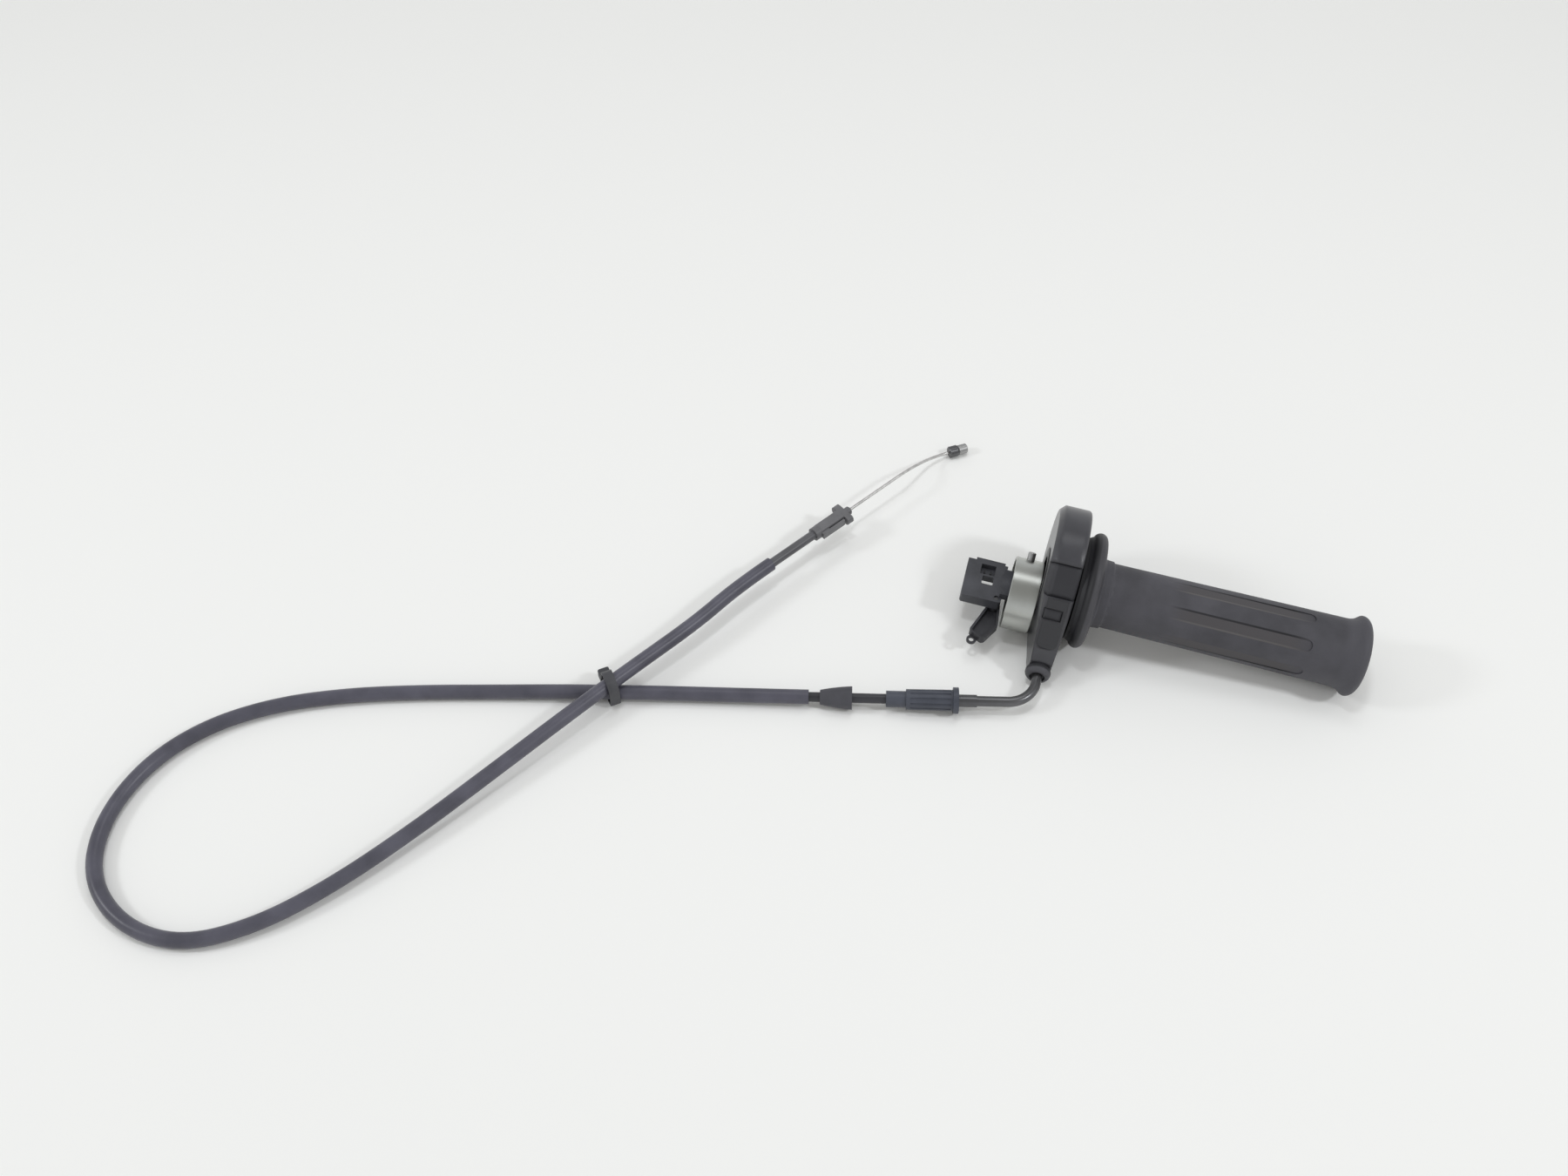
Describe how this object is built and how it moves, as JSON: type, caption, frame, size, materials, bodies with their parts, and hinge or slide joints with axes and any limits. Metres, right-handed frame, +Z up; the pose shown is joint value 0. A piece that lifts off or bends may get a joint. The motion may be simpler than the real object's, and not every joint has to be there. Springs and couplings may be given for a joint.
{
  "type": "motorcycle throttle grip",
  "caption": "Twist throttle grip with rubber sleeve, cable housing, slipped-off clamp ring, connector carrier, turning adjuster and a looped pull cable.",
  "frame": {"origin": "on the grip's turning axis, in the middle of the collar; the grip axis dips 3.9 degrees because collar and end rim rest on the ground plane at z = -27.5 mm", "axes": "+X along the grip towards its outer end, +Y to the back away from the rider-side cable exit, +Z up"},
  "size_m": [0.5276, 0.3631, 0.0611],
  "materials": {
    "grip_rubber": "satin",
    "housing_plastic": "matte",
    "band_plastic": "matte",
    "black_plastic": "matte",
    "carrier_plastic": "matte",
    "adjuster_plastic": "satin",
    "boot_rubber": "matte",
    "conduit_black": "satin",
    "sleeve_black": "matte",
    "ring_silver": "satin",
    "dark_steel": "satin",
    "wire_steel": "satin",
    "zinc": "satin",
    "copper_foil": "satin"
  },
  "bodies": {
    "housing": {"housing_upper_shell": "housing_plastic", "housing_lower_shell": "housing_plastic", "joint_band": "band_plastic", "latch_clip": "band_plastic", "bar_bush": "black_plastic", "housing_screw": "dark_steel", "elbow_boot": "boot_rubber", "elbow_tube": "dark_steel", "lead_wire": "wire_steel", "near_conduit": "conduit_black", "cable_sleeve": "sleeve_black", "cable_tie": "black_plastic", "tie_head": "black_plastic", "far_conduit": "conduit_black", "end_fitting": "black_plastic", "fitting_flange": "black_plastic", "connector_carrier": "carrier_plastic", "connector_terminals": "wire_steel", "arm_pin": "dark_steel"},
    "throttle": {"rubber_grip": "grip_rubber", "grip_collar": "grip_rubber", "tube_flange": "black_plastic", "heating_element": "copper_foil", "throttle_tube": "black_plastic", "thrust_washer": "black_plastic", "cable_pulley": "black_plastic", "pulley_nipple": "zinc", "pulley_wire": "wire_steel"},
    "pull_wire": {"inner_wire": "wire_steel", "nipple_barrel": "zinc", "cable_nipple": "zinc"},
    "adjuster": {"cable_adjuster": "adjuster_plastic"},
    "dust_boot": {"dust_boot": "boot_rubber"},
    "latch_arm": {"latch_arm": "carrier_plastic"},
    "clamp_ring": {"clamp_ring": "ring_silver", "clamp_screw": "ring_silver"}
  },
  "joints": [
    {"name": "throttle_twist", "type": "hinge", "parent": "housing", "child": "throttle", "pos_m": [0, 0, 0], "axis": [0.9976, 0, -0.0688], "range_deg": [0, 75]},
    {"name": "wire_pull", "type": "slide", "parent": "housing", "child": "pull_wire", "axis": [-0.5563, -0.831, 0], "range_m": [0, 0.0269]},
    {"name": "adjuster_turn", "type": "hinge", "parent": "housing", "child": "adjuster", "pos_m": [-0.0525, -0.06351, -0.0206], "axis": [-0.9779, -0.2078, -0.0244], "continuous": true},
    {"name": "boot_slide", "type": "slide", "parent": "housing", "child": "dust_boot", "axis": [0.9779, 0.2078, 0.0244], "range_m": [0, 0.0155]},
    {"name": "arm_swing", "type": "hinge", "parent": "housing", "child": "latch_arm", "pos_m": [-0.03951, -0.0082, -0.01472], "axis": [0.0688, 0, 0.9976], "range_deg": [-50, 0]},
    {"name": "ring_lift", "type": "slide", "parent": "housing", "child": "clamp_ring", "axis": [0.067, 0.2286, 0.9712], "range_m": [0, 0.01181]}
  ],
  "couplings": [
    {"joint": "wire_pull", "follows": "throttle_twist", "m_per_rad": 0.0205}
  ]
}
